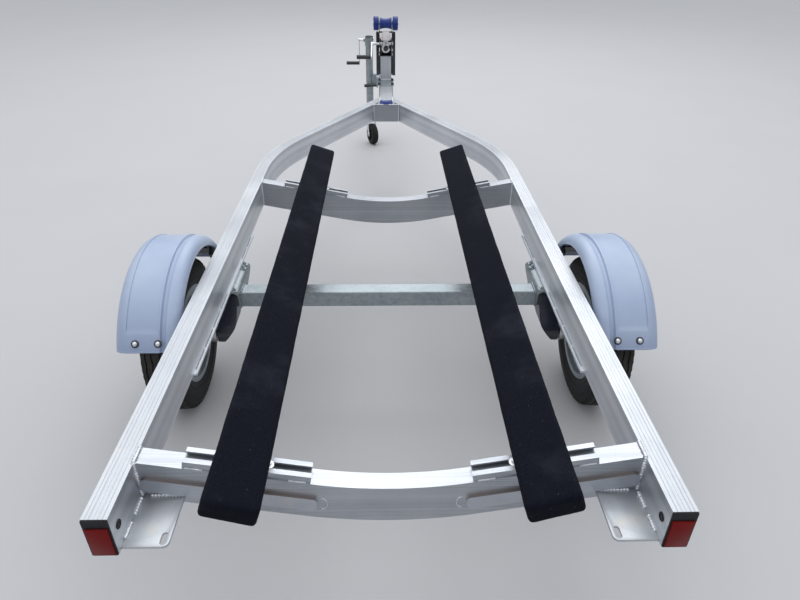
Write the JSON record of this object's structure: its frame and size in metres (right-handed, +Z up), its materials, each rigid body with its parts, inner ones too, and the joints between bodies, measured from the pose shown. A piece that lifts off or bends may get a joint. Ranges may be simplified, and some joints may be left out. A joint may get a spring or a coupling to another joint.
{
  "type": "boat trailer",
  "caption": "Single-axle boat trailer with V-shaped aluminium frame, carpeted bunks, strap winch, keel and bow rollers, ball coupler and swing-up jack.",
  "frame": {"origin": "centre of the trailer's box on the ground", "axes": "+X to the trailer's right, +Y forward to the coupler, +Z up"},
  "size_m": [1.594, 4.3334, 0.913],
  "materials": {
    "rail_aluminium": "mill finish extrusion, fine lengthwise grooves on top",
    "galvanised_steel": "hot-dip galvanised, mottled grey",
    "arm_paint": "dark blue-black paint",
    "black_paint": "satin black",
    "zinc_plate": "bright zinc plate",
    "tyre_rubber": "worn matt black rubber",
    "fender_plastic": "light blue-grey moulded plastic",
    "roller_rubber": "royal blue moulded rubber",
    "grip_plastic": "black plastic",
    "cap_plastic": "black plastic",
    "reflector_red": "red prismatic reflector",
    "bunk_carpet": "dark marine carpet",
    "strap_webbing": "off-white polyester webbing",
    "strap_dark": "dark polyester webbing, rolled",
    "hook_zinc": "bright zinc plate"
  },
  "bodies": {
    "trailer": {"side_rail_left": "rail_aluminium", "side_rail_right": "rail_aluminium", "end_caps": "cap_plastic", "rear_reflectors": "reflector_red", "rear_cross_member": "rail_aluminium", "front_cross_member": "rail_aluminium", "rear_stiffener_bars": "rail_aluminium", "bunk_tracks": "rail_aluminium", "bunk_seats": "galvanised_steel", "bunk_left": "bunk_carpet", "bunk_right": "bunk_carpet", "lamp_plates": "rail_aluminium", "axle_beam": "galvanised_steel", "axle_tracks": "rail_aluminium", "axle_brackets": "galvanised_steel", "trailing_arms": "arm_paint", "fender_left": "fender_plastic", "fender_right": "fender_plastic", "fender_brackets": "black_paint", "tongue": "rail_aluminium", "throat_plate": "rail_aluminium", "keel_roller_ears": "galvanised_steel", "keel_roller_pin": "zinc_plate", "coupler": "zinc_plate", "winch_foot": "galvanised_steel", "u_bolts": "zinc_plate", "winch_post": "rail_aluminium", "winch_uprights": "black_paint", "bow_roller_bracket": "galvanised_steel", "winch_frame": "black_paint", "winch_strap": "strap_webbing", "strap_hook": "hook_zinc", "jack_mount": "galvanised_steel"},
    "wheel_left": {"tyre_left": "tyre_rubber", "rim_left": "galvanised_steel", "hub_left": "zinc_plate"},
    "wheel_right": {"tyre_right": "tyre_rubber", "rim_right": "galvanised_steel", "hub_right": "zinc_plate"},
    "keel_roller": {"keel_roller": "roller_rubber"},
    "bow_roller": {"bow_roller": "roller_rubber", "bow_roller_bells": "roller_rubber", "bow_roller_shaft": "zinc_plate"},
    "winch_drum": {"winch_drum": "zinc_plate", "winch_gear": "zinc_plate", "strap_roll": "strap_dark"},
    "winch_crank": {"winch_crank": "zinc_plate", "winch_pinion": "zinc_plate", "winch_grip": "grip_plastic"},
    "coupler_latch": {"coupler_latch": "zinc_plate"},
    "jack": {"jack_tube": "galvanised_steel", "jack_pull_pin": "grip_plastic"},
    "jack_leg": {"jack_leg": "zinc_plate"},
    "jack_caster": {"caster_fork": "zinc_plate"},
    "caster_wheel": {"caster_wheel": "grip_plastic"},
    "jack_crank": {"jack_crank": "zinc_plate", "jack_grip": "grip_plastic"}
  },
  "joints": [
    {"name": "wheel_left_spin", "type": "hinge", "parent": "trailer", "child": "wheel_left", "pos_m": [-0.701, -1.19524, 0.256], "axis": [1, 0, 0], "continuous": true},
    {"name": "wheel_right_spin", "type": "hinge", "parent": "trailer", "child": "wheel_right", "pos_m": [0.701, -1.19524, 0.256], "axis": [1, 0, 0], "continuous": true},
    {"name": "keel_roller_spin", "type": "hinge", "parent": "trailer", "child": "keel_roller", "pos_m": [0, 0.88574, 0.488], "axis": [1, 0, 0], "continuous": true},
    {"name": "bow_roller_spin", "type": "hinge", "parent": "trailer", "child": "bow_roller", "pos_m": [0, 1.44574, 0.87], "axis": [1, 0, 0], "continuous": true},
    {"name": "winch_crank_spin", "type": "hinge", "parent": "trailer", "child": "winch_crank", "pos_m": [0, 1.44974, 0.745], "axis": [-1, 0, 0], "continuous": true},
    {"name": "winch_drum_spin", "type": "hinge", "parent": "trailer", "child": "winch_drum", "pos_m": [0, 1.51174, 0.725], "axis": [-1, 0, 0], "continuous": true},
    {"name": "coupler_latch_lift", "type": "hinge", "parent": "trailer", "child": "coupler_latch", "pos_m": [0, 2.07474, 0.5218], "axis": [-1, 0, 0], "range_deg": [0, 85]},
    {"name": "jack_swing", "type": "hinge", "parent": "trailer", "child": "jack", "pos_m": [-0.116, 1.71474, 0.456], "axis": [-1, 0, 0], "range_deg": [0, 90]},
    {"name": "jack_leg_slide", "type": "slide", "parent": "jack", "child": "jack_leg", "axis": [0, 0, 1], "range_m": [-0.19, 0.045]},
    {"name": "jack_caster_swivel", "type": "hinge", "parent": "jack_leg", "child": "jack_caster", "pos_m": [-0.116, 1.71474, 0.174], "axis": [0, 0, 1], "continuous": true},
    {"name": "caster_wheel_spin", "type": "hinge", "parent": "jack_caster", "child": "caster_wheel", "pos_m": [-0.10023, 1.67366, 0.075], "axis": [0.9336, 0.3584, 0], "continuous": true},
    {"name": "jack_crank_spin", "type": "hinge", "parent": "jack", "child": "jack_crank", "pos_m": [-0.116, 1.71474, 0.727], "axis": [-1, 0, 0], "continuous": true}
  ],
  "couplings": [
    {"joint": "winch_drum_spin", "follows": "winch_crank_spin", "ratio": -0.25}
  ]
}
